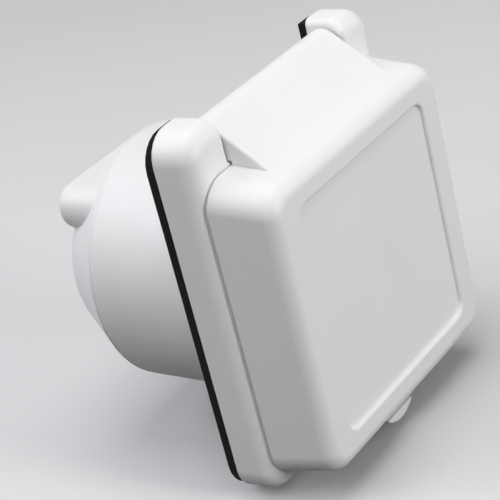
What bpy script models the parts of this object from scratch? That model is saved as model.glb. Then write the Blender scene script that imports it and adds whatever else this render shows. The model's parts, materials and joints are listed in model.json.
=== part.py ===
"""Shore power inlet for a caravan wall, with a hinged weather lid.

The inlet sits in a round cut-out. The wall's outer surface is the plane Y = 0, the axis of the
cut-out is the Y axis, -Y is outdoors and +Y is inside the wall. Z is up. Units are metres.
"""
import math

import bmesh
import bpy
from mathutils import Matrix, Vector

MM = 0.001
GAP = 0.3 * MM                      # clearance between pieces that touch
SMALLEST_BEND = 0.4 * MM            # radius where a wall's inner corner would vanish
CUT_PAST = 1.0 * MM                 # how far a cutting shape runs past a face
WELD_DISTANCE = 0.001 * MM          # points this close are one point

# Well and its threaded collar; the well's radius sets the size of what is round it
WELL_RADIUS = 29.0 * MM
WELL_WALL = 3.0 * MM
WELL_FLOOR_Y = 5.0 * MM
WELL_FLOOR_THICKNESS = 3.0 * MM
COLLAR_CHAMFER = 0.8 * MM
THREAD_HEIGHT = 1.2 * MM
THREAD_PITCH = 5.0 * MM
THREAD_TURNS = 2.0
THREAD_FINENESS = 0.55              # its steps to those of a round shape
THREAD_RUN_OUT = 1 / 6              # share of its length over which each end rises
THREAD_LEAD_IN = 3.2 * MM
THREAD_ROOT_WIDTH = 2.2 * MM
THREAD_CREST_WIDTH = 0.9 * MM
THREAD_START_HEIGHT = 0.15 * MM     # where its ends run out
THREAD_BURY = 0.6 * MM              # how far it is rooted in the collar

# Rear skirt, the tube that goes through the wall
SKIRT_SPACE = 5.2 * MM              # from the well's wall to the skirt's bore, for the wires
SKIRT_DRAFT = 1.1 * MM
SKIRT_REAR_Y = 41.6 * MM
SKIRT_RIM_FILLET = 0.5 * MM
SKIRT_WALL = 3.0 * MM

# Front flange, in front of the wall
FLANGE_SIDE_MARGIN = 7.9 * MM       # past the skirt
FLANGE_BOTTOM_MARGIN = 5.9 * MM     # below the lid
EAR_RISE = 7.75 * MM                # from the hinge's axis to the top
FLANGE_THICKNESS = 13.1 * MM
FLANGE_CORNER_RADIUS = 8.6 * MM
FLANGE_EDGE_FILLET = 6.0 * MM

# Foam gasket behind the flange
GASKET_THICKNESS = 3.0 * MM
GASKET_INSET = 0.1 * MM             # behind the flange's edge, at the sides and the bottom
GASKET_TOP_INSET = 1.4 * MM
GASKET_CORNER_RADIUS = 9.4 * MM
GASKET_NOTCH_MARGIN = 0.4 * MM

# Holes for the four screws that hold the flange to the wall
MOUNTING_HOLE_SIDE_INSET = 11.4 * MM
MOUNTING_HOLE_END_INSET = 12.5 * MM
MOUNTING_HOLE_RADIUS = 2.4 * MM
MOUNTING_HEAD_RADIUS = 4.4 * MM
MOUNTING_HEAD_SINK = 0.5 * MM

# Hinge at the top of the flange
HINGE_DEPTH = 7.2 * MM              # behind the flange's front
HINGE_RISE = 7.05 * MM              # above the lid's rear top edge
BARREL_RADIUS = 5.6 * MM
BARREL_INSET = 14.4 * MM            # from the lid's side to the barrel's end
BAY_SIDE_GAP = 0.5 * MM
BAY_FLOOR_GAP = 0.8 * MM
BAY_CORNER_RADIUS = 1.6 * MM
BAY_EDGE_RADIUS = 1.0 * MM
PIN_RADIUS = 1.6 * MM
PIN_SOCKET_DEPTH = 7.0 * MM
PIN_RECESS = 2.5 * MM
PIN_CHAMFER = 0.5 * MM

# Lid, a deep box with drafted walls
LID_SIDE_INSET = 1.8 * MM           # inside the flange's side
LID_SKIRT_MARGIN = 6.2 * MM         # its top and bottom past the skirt
LID_DEPTH = 20.7 * MM
LID_SIDE_DRAFT = 1.3 * MM
LID_TOP_DRAFT = 2.5 * MM
LID_CORNER_RADIUS = 8.2 * MM
LID_EDGE_FILLET = 4.4 * MM
LID_WALL = 2.6 * MM
PANEL_SIDE_INSET = 12.3 * MM        # shallow recess, from the lid's side
PANEL_END_INSET = 10.9 * MM
PANEL_CORNER_RADIUS = 5.6 * MM
PANEL_DEPTH = 0.55 * MM
PANEL_SLOPE = 0.85 * MM

# Ramp that carries the lid's roof up to the hinge barrel
RAMP_ANGLE = math.radians(38.0)
RAMP_BLEND_RADIUS = 9.0 * MM
RAMP_SIDE_FILLET = 0.8 * MM
RAMP_WALL = 2.6 * MM
RAMP_RIB_X = 11.0 * MM
RAMP_RIB_WIDTH = 2.0 * MM

# Finger tab under the lid
TAB_HALF_WIDTH = 9.5 * MM
TAB_DROP = 6.7 * MM                 # below the lid's rear bottom edge
TAB_THICKNESS = 2.6 * MM
TAB_SETBACK = 8.3 * MM              # behind the lid's front
TAB_ROUND_RADIUS = 11.2 * MM
TAB_EDGE_RADIUS = 0.7 * MM

# Rubber ring in the lid that closes on the collar
SEAL_THICKNESS = 2.6 * MM
SEAL_INNER_MARGIN = 0.5 * MM        # inside the well's radius
SEAL_OUTER_MARGIN = 1.0 * MM        # outside the collar's radius
SEAL_LIP_CHAMFER = 0.5 * MM
SEAL_RIB_WIDTH = 1.4 * MM
SEAL_RIB_HEIGHT = 1.4 * MM

# Rear cap, a cone with a flat end and a boss for the cable
CAP_LENGTH = 17.3 * MM
CAP_TAPER = 11.4 * MM               # rim's radius less the end's
CAP_WALL = 2.8 * MM
CAP_END_FILLET = 1.5 * MM
CAP_RIM_STEP = 0.1 * MM             # cap's rim inside the skirt's
CAP_RIM_BAND = 0.6 * MM             # straight band before the cone starts
CAP_SPIGOT_LENGTH = 5.0 * MM
CAP_SPIGOT_WALL = 1.6 * MM
CAP_SEAL_WIDTH = 1.8 * MM
CAP_SEAL_HEIGHT = 1.3 * MM
GROMMET_LIP = 1.4 * MM
BOSS_HALF_LENGTH = 20.3 * MM        # from its middle to the centre of each round end
BOSS_INSET = 4.1 * MM               # its middle inside the cap's end radius
BOSS_RADIUS = 7.3 * MM
BOSS_END_FILLET = 2.6 * MM
CABLE_HOLE_HALF_LENGTH = 5.0 * MM   # the way in is oval, for a flat cable
CABLE_HOLE_RADIUS = 3.4 * MM
GROMMET_WALL = 1.5 * MM
GROMMET_LENGTH = 9.0 * MM
GROMMET_CHAMFER = 0.6 * MM
CLAMP_THICKNESS = 2.4 * MM
CLAMP_MARGIN = 2.0 * MM             # from the boss's outline to the clamp plate's

# Insulating contact carrier
CARRIER_LEDGE = 6.0 * MM            # well's floor left round the carrier's nose
CARRIER_STEP = 3.0 * MM             # nose's radius less the body's
CARRIER_FLANGE_THICKNESS = 4.0 * MM
CARRIER_DEPTH = 16.0 * MM           # behind the well's floor
CARRIER_CHAMFER = 0.6 * MM

# Curved locking blades
BLADE_RADIUS = 13.0 * MM            # to the middle of the blade's thickness
BLADE_THICKNESS = 1.7 * MM
BLADE_REACH = 18.0 * MM             # in front of the well's floor
BLADE_TAIL = 10.0 * MM              # behind the carrier
BLADE_ANGLE = math.radians(52.0)
BLADE_TIP_CHAMFER = 1.5 * MM
BLADE_TIP_THINNING = 0.5 * MM       # taken off each face at the tip
BLADE_NOTCH_LENGTH = 6.0 * MM
BLADE_NOTCH_ANGLE = math.radians(14.0)
BLADE_NOTCH_OFFSET = 2.0 * MM       # from the well's floor
BLADE_NOTCH_OVERCUT = math.radians(8.0)
GROUND_HOOK_LENGTH = 3.4 * MM
GROUND_DIRECTION = math.radians(90.0)

# Terminals at the blades' tails
TERMINAL_SETBACK = 4.4 * MM         # from the blade's end
TERMINAL_SCREW_RADIUS = 1.9 * MM
TERMINAL_HEAD_RADIUS = 3.6 * MM
TERMINAL_HEAD_HEIGHT = 2.4 * MM
TERMINAL_SCREW_LENGTH = 8.0 * MM
CLAMP_PLATE_SIZE = 8.4 * MM
CLAMP_PLATE_THICKNESS = 1.5 * MM
CLAMP_PLATE_CORNER = 1.2 * MM

# Screws
CARRIER_SCREW_MARGIN = 3.0 * MM     # its middle inside the well's radius
CARRIER_SCREW_RADIUS = 1.5 * MM
CARRIER_HEAD_RADIUS = 2.7 * MM
CARRIER_SCREW_FLOOR = 0.6 * MM      # left under each blind hole
CAP_SCREW_MARGIN = 3.6 * MM         # its middle inside the carrier's body
CAP_SCREW_RADIUS = 1.7 * MM
CAP_HEAD_RADIUS = 3.2 * MM
CAP_SCREW_GRIP = 8.0 * MM           # thread length in the carrier
CAP_HEAD_SINK = 0.4 * MM
CAP_SLEEVE_WALL = 1.8 * MM
CLAMP_SCREW_PLACE = 15.6 * MM
CLAMP_SCREW_RADIUS = 1.4 * MM
CLAMP_HEAD_RADIUS = 2.4 * MM
CLAMP_SCREW_LENGTH = 9.0 * MM
HEAD_HEIGHT = 1.8 * MM
HEAD_CHAMFER = 0.3 * MM
SLOT_WIDTH = 0.8 * MM
SLOT_DEPTH = 0.9 * MM

# Fineness of round shapes
ROUND_STEPS = 60
SCREW_STEPS = 16
OVAL_STEPS = 12
CORNER_STEPS = 6
FILLET_STEPS = 5
RAMP_SIDE_STEPS = 4

# Worked out from the sizes above
COLLAR_RADIUS = WELL_RADIUS + WELL_WALL
SKIRT_BORE = COLLAR_RADIUS + SKIRT_SPACE
SKIRT_REAR_RADIUS = SKIRT_BORE + SKIRT_WALL
SKIRT_RADIUS = SKIRT_REAR_RADIUS + SKIRT_DRAFT
FLANGE_WIDTH = 2 * (SKIRT_RADIUS + FLANGE_SIDE_MARGIN)
FLANGE_BACK_Y = -GASKET_THICKNESS
FLANGE_FRONT_Y = FLANGE_BACK_Y - FLANGE_THICKNESS
LID_HALF_WIDTH = FLANGE_WIDTH / 2 - LID_SIDE_INSET      # at its open rear edge
LID_HALF_HEIGHT = SKIRT_RADIUS + LID_SKIRT_MARGIN
LID_REAR_Y = FLANGE_FRONT_Y - GAP
LID_FRONT_Y = FLANGE_FRONT_Y - LID_DEPTH
LID_CEILING_Y = LID_FRONT_Y + LID_WALL
PANEL_HALF_WIDTH = LID_HALF_WIDTH - PANEL_SIDE_INSET
PANEL_HALF_HEIGHT = LID_HALF_HEIGHT - PANEL_END_INSET
TAB_Y = LID_FRONT_Y + TAB_SETBACK
TAB_BOTTOM = -LID_HALF_HEIGHT - TAB_DROP
HINGE_Y = FLANGE_FRONT_Y + HINGE_DEPTH
HINGE_Z = LID_HALF_HEIGHT + HINGE_RISE
BARREL_HALF_LENGTH = LID_HALF_WIDTH - BARREL_INSET
BAY_HALF_WIDTH = BARREL_HALF_LENGTH + BAY_SIDE_GAP
FLANGE_TOP = HINGE_Z + EAR_RISE
FLANGE_BOTTOM = -LID_HALF_HEIGHT - FLANGE_BOTTOM_MARGIN
MOUNTING_HOLE_X = LID_HALF_WIDTH - MOUNTING_HOLE_SIDE_INSET
MOUNTING_HOLE_Z = LID_HALF_HEIGHT - MOUNTING_HOLE_END_INSET
COLLAR_FRONT_Y = LID_CEILING_Y + SEAL_THICKNESS + 2 * GAP
SEAL_INNER_RADIUS = WELL_RADIUS - SEAL_INNER_MARGIN
SEAL_OUTER_RADIUS = COLLAR_RADIUS + SEAL_OUTER_MARGIN
WELL_FLOOR_REAR_Y = WELL_FLOOR_Y + WELL_FLOOR_THICKNESS
CARRIER_NOSE_RADIUS = WELL_RADIUS - CARRIER_LEDGE
CARRIER_FLANGE_RADIUS = WELL_RADIUS
CARRIER_BODY_RADIUS = CARRIER_NOSE_RADIUS - CARRIER_STEP
CARRIER_REAR_Y = WELL_FLOOR_REAR_Y + CARRIER_DEPTH
CARRIER_SCREW_PLACE = WELL_RADIUS - CARRIER_SCREW_MARGIN        # distance from the axis
CAP_SCREW_PLACE = CARRIER_BODY_RADIUS - CAP_SCREW_MARGIN
BLADE_TIP_Y = WELL_FLOOR_Y - BLADE_REACH
BLADE_TAIL_Y = CARRIER_REAR_Y + BLADE_TAIL
TERMINAL_Y = BLADE_TAIL_Y - TERMINAL_SETBACK
CAP_RIM_Y = SKIRT_REAR_Y + GAP
CAP_CONE_START_Y = CAP_RIM_Y + CAP_RIM_BAND
CAP_END_Y = CAP_RIM_Y + CAP_LENGTH
CAP_RIM_RADIUS = SKIRT_REAR_RADIUS - CAP_RIM_STEP
CAP_END_RADIUS = CAP_RIM_RADIUS - CAP_TAPER
CAP_CONE_ANGLE = math.atan2(CAP_TAPER, CAP_END_Y - CAP_CONE_START_Y)
CAP_HEAD_SEAT_Y = CAP_END_Y - HEAD_HEIGHT - CAP_HEAD_SINK
BOSS_Z = CAP_END_RADIUS - BOSS_INSET
CLAMP_SEAT_Y = CAP_END_Y - CLAMP_THICKNESS - GAP
CLAMP_RADIUS = BOSS_RADIUS - CLAMP_MARGIN
GROMMET_SEAT_Y = CLAMP_SEAT_Y - GROMMET_LENGTH - 2 * GAP
GROMMET_RADIUS = CABLE_HOLE_RADIUS + GROMMET_WALL
TERMINAL_DIRECTIONS = [GROUND_DIRECTION + math.radians(120.0) * k for k in range(3)]
CAP_SCREW_DIRECTIONS = [angle + math.radians(60.0) for angle in TERMINAL_DIRECTIONS]
CARRIER_SCREW_DIRECTIONS = [0.0, math.pi]


def clear_scene():
    """Remove whatever the scene holds."""
    for old in list(bpy.data.objects):
        bpy.data.objects.remove(old, do_unlink=True)


def plain_material(name, colour, roughness, metallic=0.0):
    """One Principled material."""
    material = bpy.data.materials.new(name)
    material.use_nodes = True
    shader = material.node_tree.nodes["Principled BSDF"]
    shader.inputs["Base Color"].default_value = (*colour, 1.0)
    shader.inputs["Roughness"].default_value = roughness
    shader.inputs["Metallic"].default_value = metallic
    return material


def white_plastic(name):
    return plain_material(name, (0.86, 0.86, 0.85), 0.38)


def black_rubber(name):
    return plain_material(name, (0.012, 0.012, 0.013), 0.7)


def dark_thermoset(name):
    return plain_material(name, (0.03, 0.03, 0.032), 0.45)


def stainless_steel(name):
    return plain_material(name, (0.62, 0.61, 0.6), 0.28, 1.0)


def yellow_brass(name):
    return plain_material(name, (0.78, 0.6, 0.28), 0.3, 1.0)


def mesh_object(name, shape, material=None, smooth_angle=26.0):
    """Turn a bmesh into a named object with its faces pointing out."""
    bmesh.ops.remove_doubles(shape, verts=shape.verts, dist=WELD_DISTANCE)
    bmesh.ops.recalc_face_normals(shape, faces=shape.faces)
    mesh = bpy.data.meshes.new(name)
    shape.to_mesh(mesh)
    shape.free()
    mesh.shade_smooth()
    mesh.set_sharp_from_angle(angle=math.radians(smooth_angle))
    made = bpy.data.objects.new(name, mesh)
    bpy.context.scene.collection.objects.link(made)
    if material:
        mesh.materials.append(material)
    return made


def hide_tool(tool):
    """Mark an object as a cutter, not a piece."""
    tool.hide_render = True
    tool.display_type = "WIRE"
    return tool


def boolean(target, tool, operation, solver):
    """Cut or join a hidden tool shape."""
    modifier = target.modifiers.new(operation.title() + " " + tool.name, "BOOLEAN")
    modifier.operation = operation
    modifier.solver = solver
    modifier.object = hide_tool(tool)


def cut(target, tool, solver="EXACT"):
    boolean(target, tool, "DIFFERENCE", solver)


def join(target, tool, solver="EXACT"):
    boolean(target, tool, "UNION", solver)


def arc(centre, radius, start, end, steps):
    """Points along an arc, both ends included."""
    turn = (end - start) / steps
    return [(centre[0] + radius * math.cos(start + turn * k),
             centre[1] + radius * math.sin(start + turn * k)) for k in range(steps + 1)]


def rounded_rectangle(half_width, bottom, top, radius, steps=CORNER_STEPS):
    """Outline in X and Z, anticlockwise from its right side."""
    quarter = math.pi / 2
    corners = [(half_width - radius, top - radius), (-half_width + radius, top - radius),
               (-half_width + radius, bottom + radius), (half_width - radius, bottom + radius)]
    outline = []
    for k, corner in enumerate(corners):
        outline += arc(corner, radius, quarter * k, quarter * (k + 1), steps)
    return outline


def oval(half_length, radius, middle=0.0, steps=OVAL_STEPS):
    """Outline in X and Z with straight sides and round ends, at a height."""
    right = arc((half_length, middle), radius, -math.pi / 2, math.pi / 2, steps)
    left = arc((-half_length, middle), radius, math.pi / 2, 3 * math.pi / 2, steps)
    return right + left


def placed(first, second, along, axes):
    """Point from two outline coordinates and the one they run along."""
    point = [0.0, 0.0, 0.0]
    for axis, value in zip(axes, (first, second, along)):
        point[axis] = value
    return point


def loft(sections, axes=(0, 2, 1)):
    """Solid through outlines, each at its own place along the third axis."""
    shape = bmesh.new()
    rings = []
    for outline, along in sections:
        verts = [shape.verts.new(placed(first, second, along, axes)) for first, second in outline]
        edges = [shape.edges.new((verts[k], verts[(k + 1) % len(verts)])) for k in range(len(verts))]
        rings.append((verts, edges))
    for (_, first), (_, second) in zip(rings, rings[1:]):
        bmesh.ops.bridge_loops(shape, edges=first + second)
    shape.faces.new(rings[0][0])
    shape.faces.new(rings[-1][0])
    return shape


def lathe(profile, steps=ROUND_STEPS):
    """Turn a closed profile of (radius, Y) points about the Y axis."""
    shape = bmesh.new()
    verts = [shape.verts.new((radius, y, 0.0)) for radius, y in profile]
    edges = [shape.edges.new((verts[k], verts[(k + 1) % len(verts)])) for k in range(len(verts))]
    edges = [edge for edge in edges if max(abs(vert.co.x) for vert in edge.verts) > 0.0]
    bmesh.ops.spin(shape, geom=verts + edges, cent=(0, 0, 0), axis=(0, 1, 0),
                   angle=2 * math.pi, steps=steps, use_merge=True)
    bmesh.ops.remove_doubles(shape, verts=shape.verts, dist=WELD_DISTANCE)
    bmesh.ops.delete(shape, geom=[edge for edge in shape.edges if not edge.link_faces], context="EDGES")
    return shape


def extrude_outline(outline, low, high, axes=(0, 2, 1)):
    """Prism of an outline; axes gives the two axes of the outline and the one it runs along."""
    return loft([(outline, low), (outline, high)], axes)


def add_box(shape, low, high):
    """Add a box between two corners to a bmesh."""
    made = bmesh.ops.create_cube(shape, size=1.0)["verts"]
    size = [high[k] - low[k] for k in range(3)]
    middle = [(high[k] + low[k]) / 2 for k in range(3)]
    bmesh.ops.scale(shape, verts=made, vec=size)
    bmesh.ops.translate(shape, verts=made, vec=middle)


def add_cone(shape, start, end, start_radius, end_radius, steps=SCREW_STEPS):
    """Add a closed cone or cylinder between two points to a bmesh."""
    start = Vector(start)
    end = Vector(end)
    turn = (end - start).to_track_quat("Z", "Y").to_matrix().to_4x4()
    bmesh.ops.create_cone(shape, cap_ends=True, segments=steps, radius1=start_radius,
                          radius2=end_radius, depth=(end - start).length,
                          matrix=Matrix.Translation((start + end) / 2) @ turn)


def cylinder(start, end, radius, steps=SCREW_STEPS):
    """A closed cylinder between two points."""
    shape = bmesh.new()
    add_cone(shape, start, end, radius, radius, steps)
    return shape


def polar(radius, angle, y):
    """Point at a distance from the axis and a direction in the X Z plane."""
    return (radius * math.cos(angle), y, radius * math.sin(angle))


def add_shape(shape, extra):
    """Add one bmesh to another and free it."""
    scratch = bpy.data.meshes.new("scratch")
    extra.to_mesh(scratch)
    extra.free()
    shape.from_mesh(scratch)
    bpy.data.meshes.remove(scratch)


def moved(shape, step):
    """Shift a bmesh."""
    bmesh.ops.translate(shape, verts=shape.verts, vec=step)
    return shape


def follow(item, leader):
    """Let an object that was built in place move with another."""
    item.parent = leader
    item.location = -leader.location


def hang_at(item, point):
    """Put an object's origin at a point, with its cutting shapes following it."""
    item.data.transform(Matrix.Translation(-Vector(point)))
    item.location = point
    for modifier in item.modifiers:
        follow(modifier.object, item)


def flange_outline(inset):
    """Rounded outline of the flange, pulled in by a distance."""
    return rounded_rectangle(FLANGE_WIDTH / 2 - inset, FLANGE_BOTTOM + inset, FLANGE_TOP - inset,
                             FLANGE_CORNER_RADIUS - inset)


def flange_slab():
    """The flange's plate with its rounded front edge."""
    sections = [(flange_outline(0.0), FLANGE_BACK_Y)]
    for sine, cosine in [(math.sin(a), math.cos(a)) for a in
                         [math.pi / 2 * k / FILLET_STEPS for k in range(FILLET_STEPS + 1)]]:
        inset = FLANGE_EDGE_FILLET * (1 - cosine)
        y = FLANGE_FRONT_Y + FLANGE_EDGE_FILLET * (1 - sine)
        sections.append((flange_outline(inset), y))
    return loft(sections)


def collar_and_skirt():
    """Ring section of the well, its collar and the skirt behind the flange."""
    inside_slab = FLANGE_FRONT_Y + FLANGE_THICKNESS / 2
    rim = arc((SKIRT_REAR_RADIUS - SKIRT_RIM_FILLET, SKIRT_REAR_Y - SKIRT_RIM_FILLET),
              SKIRT_RIM_FILLET, 0.0, math.pi / 2, 4)
    profile = [(WELL_RADIUS + COLLAR_CHAMFER / 2, COLLAR_FRONT_Y),
               (COLLAR_RADIUS - COLLAR_CHAMFER, COLLAR_FRONT_Y),
               (COLLAR_RADIUS, COLLAR_FRONT_Y + COLLAR_CHAMFER),
               (COLLAR_RADIUS, inside_slab),
               (SKIRT_RADIUS, inside_slab)]
    profile += rim
    profile += [(SKIRT_BORE, SKIRT_REAR_Y),
                (SKIRT_BORE, FLANGE_BACK_Y),
                (COLLAR_RADIUS, FLANGE_BACK_Y),
                (COLLAR_RADIUS, WELL_FLOOR_REAR_Y),
                (CARRIER_NOSE_RADIUS + GAP, WELL_FLOOR_REAR_Y),
                (CARRIER_NOSE_RADIUS + GAP, WELL_FLOOR_Y),
                (WELL_RADIUS, WELL_FLOOR_Y),
                (WELL_RADIUS, COLLAR_FRONT_Y + COLLAR_CHAMFER / 2)]
    return lathe(profile)


def collar_thread():
    """Helical ridge for the plug's locking ring."""
    shape = bmesh.new()
    steps = int(ROUND_STEPS * THREAD_TURNS * THREAD_FINENESS)
    root = THREAD_ROOT_WIDTH
    crest = THREAD_CREST_WIDTH
    bury = THREAD_BURY
    start_y = COLLAR_FRONT_Y + THREAD_LEAD_IN
    rings = []
    for k in range(steps + 1):
        share = k / steps
        angle = 2 * math.pi * THREAD_TURNS * share
        rise = min(1.0, share / THREAD_RUN_OUT, (1.0 - share) / THREAD_RUN_OUT)
        height = THREAD_START_HEIGHT + (THREAD_HEIGHT - THREAD_START_HEIGHT) * rise
        y = start_y + THREAD_PITCH * THREAD_TURNS * share
        section = [(COLLAR_RADIUS - bury, y - root / 2), (COLLAR_RADIUS + height, y - crest / 2),
                   (COLLAR_RADIUS + height, y + crest / 2), (COLLAR_RADIUS - bury, y + root / 2)]
        rings.append([shape.verts.new(polar(radius, angle, place)) for radius, place in section])
    for first, second in zip(rings, rings[1:]):
        for k in range(4):
            shape.faces.new((first[k], first[(k + 1) % 4], second[(k + 1) % 4], second[k]))
    shape.faces.new(rings[0])
    shape.faces.new(rings[-1])
    return shape


def bay_outline(margin=0.0):
    """Notch in the flange's top edge for the lid's hinge, as X and Z."""
    half_width = BAY_HALF_WIDTH + margin
    floor = HINGE_Z - BARREL_RADIUS - BAY_FLOOR_GAP - margin
    top = FLANGE_TOP + CUT_PAST
    corner = BAY_CORNER_RADIUS
    left = arc((-half_width + corner, floor + corner), corner, math.pi, 3 * math.pi / 2, 4)
    right = arc((half_width - corner, floor + corner), corner, 3 * math.pi / 2, 2 * math.pi, 4)
    return left + right + [(half_width, top), (-half_width, top)]


def bay_cutter():
    """The hinge bay, open through the flange, with a rounded front edge."""
    sections = [(bay_outline(), FLANGE_BACK_Y + CUT_PAST)]
    for k in range(4):
        angle = math.pi / 2 * k / 3
        sections.append((bay_outline(BAY_EDGE_RADIUS * (1 - math.cos(angle))),
                         FLANGE_FRONT_Y + BAY_EDGE_RADIUS * (1 - math.sin(angle))))
    sections.append((bay_outline(BAY_EDGE_RADIUS), FLANGE_FRONT_Y - CUT_PAST))
    return loft(sections)


def mounting_holes_cutter():
    """Four countersunk holes under the lid's corners."""
    shape = bmesh.new()
    before = FLANGE_FRONT_Y - CUT_PAST
    sink_start = FLANGE_FRONT_Y + MOUNTING_HEAD_SINK
    sink_end = sink_start + MOUNTING_HEAD_RADIUS - MOUNTING_HOLE_RADIUS
    behind = FLANGE_BACK_Y + CUT_PAST
    for x in (-MOUNTING_HOLE_X, MOUNTING_HOLE_X):
        for z in (-MOUNTING_HOLE_Z, MOUNTING_HOLE_Z):
            points = [(0.0, before), (MOUNTING_HEAD_RADIUS, before), (MOUNTING_HEAD_RADIUS, sink_start),
                      (MOUNTING_HOLE_RADIUS, sink_end), (MOUNTING_HOLE_RADIUS, behind), (0.0, behind)]
            add_shape(shape, moved(lathe(points, SCREW_STEPS), (x, 0.0, z)))
    return shape


def pin_bore_cutter():
    """Blind socket in the left ear and through bore in the right one."""
    return cylinder((-BAY_HALF_WIDTH - PIN_SOCKET_DEPTH, HINGE_Y, HINGE_Z),
                    (FLANGE_WIDTH / 2 + CUT_PAST, HINGE_Y, HINGE_Z), PIN_RADIUS + GAP)


def carrier_screw_holes_cutter():
    """Blind holes in the well's floor for the carrier's screws."""
    shape = bmesh.new()
    for angle in CARRIER_SCREW_DIRECTIONS:
        add_cone(shape, polar(CARRIER_SCREW_PLACE, angle, WELL_FLOOR_Y + CARRIER_SCREW_FLOOR),
                 polar(CARRIER_SCREW_PLACE, angle, WELL_FLOOR_REAR_Y + CUT_PAST),
                 CARRIER_SCREW_RADIUS + GAP, CARRIER_SCREW_RADIUS + GAP)
    return shape


def make_inlet_body():
    """Flange, hinge ears, collar, well and skirt, moulded as one piece."""
    body = mesh_object("inlet_body", flange_slab(), white_plastic("body white plastic"))
    opening = cylinder((0, FLANGE_FRONT_Y - CUT_PAST, 0), (0, FLANGE_BACK_Y + CUT_PAST, 0),
                       WELL_RADIUS + WELL_WALL / 2, ROUND_STEPS)
    cut(body, mesh_object("well_opening_tool", opening))
    ring = mesh_object("collar_and_skirt_tool", collar_and_skirt())
    join(body, ring)
    join(body, mesh_object("collar_thread_tool", collar_thread()))
    cut(body, mesh_object("hinge_bay_tool", bay_cutter()))
    cut(body, mesh_object("mounting_holes_tool", mounting_holes_cutter()))
    cut(body, mesh_object("pin_bore_tool", pin_bore_cutter()))
    cut(body, mesh_object("carrier_screw_holes_tool", carrier_screw_holes_cutter()))
    return body


def make_wall_gasket():
    """Foam gasket with the flange's outline, clamped between flange and wall."""
    outline = rounded_rectangle(FLANGE_WIDTH / 2 - GASKET_INSET, FLANGE_BOTTOM + GASKET_INSET,
                                FLANGE_TOP - GASKET_TOP_INSET, GASKET_CORNER_RADIUS)
    gasket = mesh_object("wall_gasket", extrude_outline(outline, FLANGE_BACK_Y + GAP, 0.0),
                         black_rubber("gasket black rubber"))
    hole = cylinder((0, FLANGE_BACK_Y - CUT_PAST, 0), (0, CUT_PAST, 0), SKIRT_RADIUS + GAP, ROUND_STEPS)
    cut(gasket, mesh_object("gasket_hole_tool", hole))
    notch = extrude_outline(bay_outline(GASKET_NOTCH_MARGIN), FLANGE_BACK_Y - CUT_PAST, CUT_PAST)
    cut(gasket, mesh_object("gasket_notch_tool", notch))
    screws = bmesh.new()
    for x in (-MOUNTING_HOLE_X, MOUNTING_HOLE_X):
        for z in (-MOUNTING_HOLE_Z, MOUNTING_HOLE_Z):
            add_cone(screws, (x, FLANGE_BACK_Y - CUT_PAST, z), (x, CUT_PAST, z), MOUNTING_HOLE_RADIUS,
                     MOUNTING_HOLE_RADIUS)
    cut(gasket, mesh_object("gasket_screw_holes_tool", screws))
    return gasket


def lid_half_height(y):
    """Half the lid's outer height at a depth."""
    return LID_HALF_HEIGHT - LID_TOP_DRAFT * (LID_REAR_Y - y) / (LID_REAR_Y - LID_FRONT_Y)


def lid_section(inset, y):
    """Outline of the lid at a depth, with its walls' draft, pulled in by a distance."""
    share = (LID_REAR_Y - y) / (LID_REAR_Y - LID_FRONT_Y)
    half_width = LID_HALF_WIDTH - LID_SIDE_DRAFT * share - inset
    half_height = lid_half_height(y) - inset
    radius = max(LID_CORNER_RADIUS - inset, SMALLEST_BEND)
    return rounded_rectangle(half_width, -half_height, half_height, radius)


def lid_box(inset, rear_y, front_y, fillet):
    """Drafted box with a rounded front edge."""
    sections = [(lid_section(inset, rear_y), rear_y)]
    for k in range(FILLET_STEPS + 1):
        angle = math.pi / 2 * k / FILLET_STEPS
        pulled = inset + fillet * (1 - math.cos(angle))
        y = front_y + fillet * (1 - math.sin(angle))
        sections.append((lid_section(pulled, y), y))
    return loft(sections)


def ramp_line(depth):
    """Start of the ramp's face and its blend into the roof, at a depth below the face (Y, Z)."""
    roof_angle = math.atan2(LID_TOP_DRAFT, LID_REAR_Y - LID_FRONT_Y)
    normal = (-math.sin(RAMP_ANGLE), math.cos(RAMP_ANGLE))
    slide = (-math.cos(RAMP_ANGLE), -math.sin(RAMP_ANGLE))
    offset = BARREL_RADIUS - depth
    start = (HINGE_Y + offset * normal[0], HINGE_Z + offset * normal[1])
    roof = lid_half_height(start[0]) - depth / math.cos(roof_angle)
    closing = math.sin(RAMP_ANGLE) - math.cos(RAMP_ANGLE) * math.tan(roof_angle)
    travel = (start[1] - roof) / closing
    meet = (start[0] + travel * slide[0], start[1] + travel * slide[1])
    radius = RAMP_BLEND_RADIUS + depth
    setback = radius * math.tan((RAMP_ANGLE - roof_angle) / 2)
    first = (meet[0] - setback * slide[0], meet[1] - setback * slide[1])
    centre = (first[0] + radius * normal[0], first[1] + radius * normal[1])
    return start, arc(centre, radius, RAMP_ANGLE - math.pi / 2, roof_angle - math.pi / 2, FILLET_STEPS)


def ramp_section(depth):
    """Side outline of the ramp and its barrel, with its face and barrel pulled in by a depth."""
    start, blend = ramp_line(depth)
    sink = LID_WALL / 2
    rear = LID_REAR_Y - GAP
    bottom = HINGE_Z - BARREL_RADIUS - BAY_FLOOR_GAP / 2
    barrel = arc((HINGE_Y, HINGE_Z), BARREL_RADIUS - depth, -math.pi / 2, math.pi / 2 + RAMP_ANGLE, 12)
    return barrel[:-1] + [start] + blend + [(blend[-1][0], lid_half_height(blend[-1][0]) - sink),
                                            (rear, lid_half_height(rear) - sink), (rear, bottom)]


def ramp_shape():
    """Solid ramp and hinge barrel with rounded side edges."""
    sections = []
    for k in range(RAMP_SIDE_STEPS + 1):
        angle = math.pi / 2 * k / RAMP_SIDE_STEPS
        depth = RAMP_SIDE_FILLET * (1 - math.sin(angle))
        sections.append((ramp_section(depth), BARREL_HALF_LENGTH - RAMP_SIDE_FILLET * (1 - math.cos(angle))))
    sections += [(outline, -x) for outline, x in reversed(sections)]
    return loft(sections, axes=(1, 2, 0))


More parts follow.
